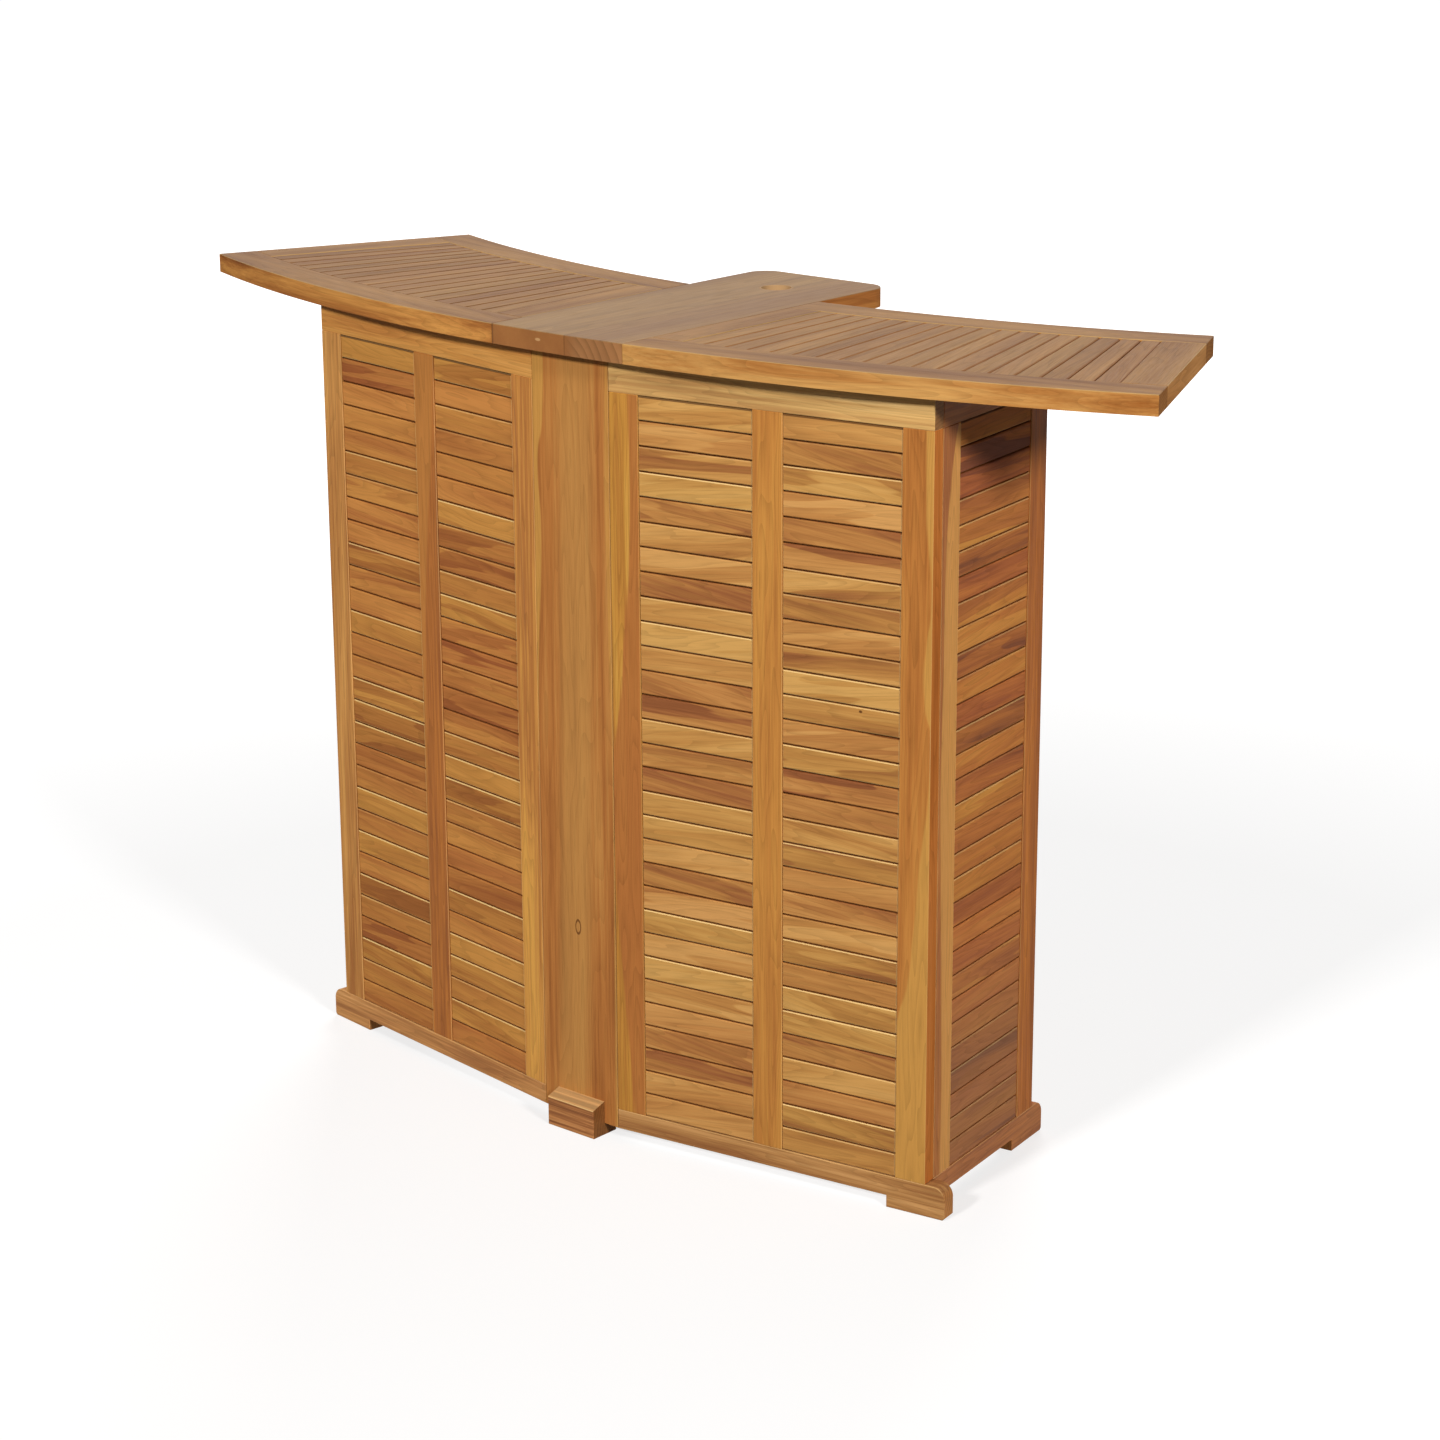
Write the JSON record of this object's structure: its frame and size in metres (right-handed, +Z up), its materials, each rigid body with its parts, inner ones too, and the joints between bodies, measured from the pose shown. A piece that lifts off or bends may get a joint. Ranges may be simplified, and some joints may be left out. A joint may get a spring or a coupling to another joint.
{
  "type": "folding bar table",
  "caption": "Folding bar table of slatted hardwood: a curved counter with a tail plank over front panels and side wings that fold in behind a centre post.",
  "frame": {"origin": "on the floor under the middle of the overall box", "axes": "+X along the counter to the guests' right hand seen from the front, +Y from the guests to the server, +Z up"},
  "size_m": [1.55, 0.525, 1.05],
  "materials": {
    "teak": "oiled, satin",
    "brass": "satin"
  },
  "bodies": {
    "centre": {"brace_screws": "brass", "centre_foot": "teak", "centre_post": "teak", "fold_pins": "brass", "leaf_pins": "teak", "plank": "teak", "plank_brace": "teak", "post_hinge_plates": "brass", "post_hinge_screws": "brass", "post_spine": "teak"},
    "right_panel": {"right_panel_bottom_rail": "teak", "right_panel_fold_plates": "brass", "right_panel_hinge_screws": "brass", "right_panel_inner_slats": "teak", "right_panel_inner_stile": "teak", "right_panel_middle_stile": "teak", "right_panel_outer_slats": "teak", "right_panel_outer_stile": "teak", "right_panel_top_rail": "teak", "right_panel_wing_plates": "brass", "right_wing_pins": "brass"},
    "left_panel": {"left_panel_bottom_rail": "teak", "left_panel_fold_plates": "brass", "left_panel_hinge_screws": "brass", "left_panel_inner_slats": "teak", "left_panel_inner_stile": "teak", "left_panel_middle_stile": "teak", "left_panel_outer_slats": "teak", "left_panel_outer_stile": "teak", "left_panel_top_rail": "teak", "left_panel_wing_plates": "brass", "left_wing_pins": "brass"},
    "right_wing": {"right_wing_bottom_rail": "teak", "right_wing_front_stile": "teak", "right_wing_hinge_plates": "brass", "right_wing_hinge_screws": "brass", "right_wing_rear_stile": "teak", "right_wing_slats": "teak", "right_wing_top_rail": "teak"},
    "left_wing": {"left_wing_bottom_rail": "teak", "left_wing_front_stile": "teak", "left_wing_hinge_plates": "brass", "left_wing_hinge_screws": "brass", "left_wing_rear_stile": "teak", "left_wing_slats": "teak", "left_wing_top_rail": "teak"},
    "right_leaf": {"right_leaf_end_rail": "teak", "right_leaf_front_rail": "teak", "right_leaf_inner_rail": "teak", "right_leaf_rear_rail": "teak", "right_leaf_slats": "teak"},
    "left_leaf": {"left_leaf_end_rail": "teak", "left_leaf_front_rail": "teak", "left_leaf_inner_rail": "teak", "left_leaf_rear_rail": "teak", "left_leaf_slats": "teak"}
  },
  "joints": [
    {"name": "right_panel_fold", "type": "hinge", "parent": "centre", "child": "right_panel", "pos_m": [0.05995, -0.21124, 0.512], "axis": [0, 0, 1], "range_deg": [0, 81.6]},
    {"name": "right_wing_fold", "type": "hinge", "parent": "right_panel", "child": "right_wing", "pos_m": [0.48064, -0.14912, 0.512], "axis": [0, 0, 1], "range_deg": [0, 90]},
    {"name": "right_leaf_slide", "type": "slide", "parent": "centre", "child": "right_leaf", "axis": [1, 0, 0], "range_m": [0, 0.035]},
    {"name": "left_panel_fold", "type": "hinge", "parent": "centre", "child": "left_panel", "pos_m": [-0.05995, -0.21124, 0.512], "axis": [0, 0, -1], "range_deg": [0, 81.6]},
    {"name": "left_wing_fold", "type": "hinge", "parent": "left_panel", "child": "left_wing", "pos_m": [-0.48064, -0.14912, 0.512], "axis": [0, 0, -1], "range_deg": [0, 90]},
    {"name": "left_leaf_slide", "type": "slide", "parent": "centre", "child": "left_leaf", "axis": [-1, 0, 0], "range_m": [0, 0.035]}
  ],
  "couplings": [
    {"joint": "right_wing_fold", "follows": "right_panel_fold", "ratio": 1.1029},
    {"joint": "left_wing_fold", "follows": "left_panel_fold", "ratio": 1.1029}
  ]
}
